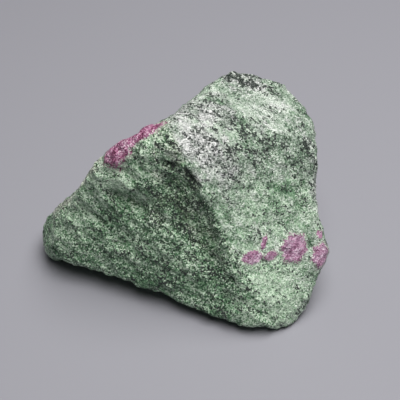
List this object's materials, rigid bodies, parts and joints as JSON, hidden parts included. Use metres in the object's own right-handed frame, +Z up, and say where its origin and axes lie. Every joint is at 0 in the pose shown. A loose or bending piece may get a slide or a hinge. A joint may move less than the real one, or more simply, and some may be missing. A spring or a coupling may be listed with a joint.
{
  "type": "ruby in zoisite stone",
  "caption": "Rough, lightly worn lump of green zoisite rock with black hornblende grains and pink-red ruby crystals in its faces; it rests on a flat underside.",
  "frame": {"origin": "under the middle of the stone, on the surface that it rests on", "axes": "+Z up; +X along the stone's longest side, from the pointed left toe to the side with the largest rubies; +Y to the back"},
  "size_m": [0.061, 0.0456, 0.0388],
  "materials": {
    "ruby_in_zoisite": "matte"
  },
  "bodies": {
    "root": {"stone": "ruby_in_zoisite"}
  },
  "joints": []
}
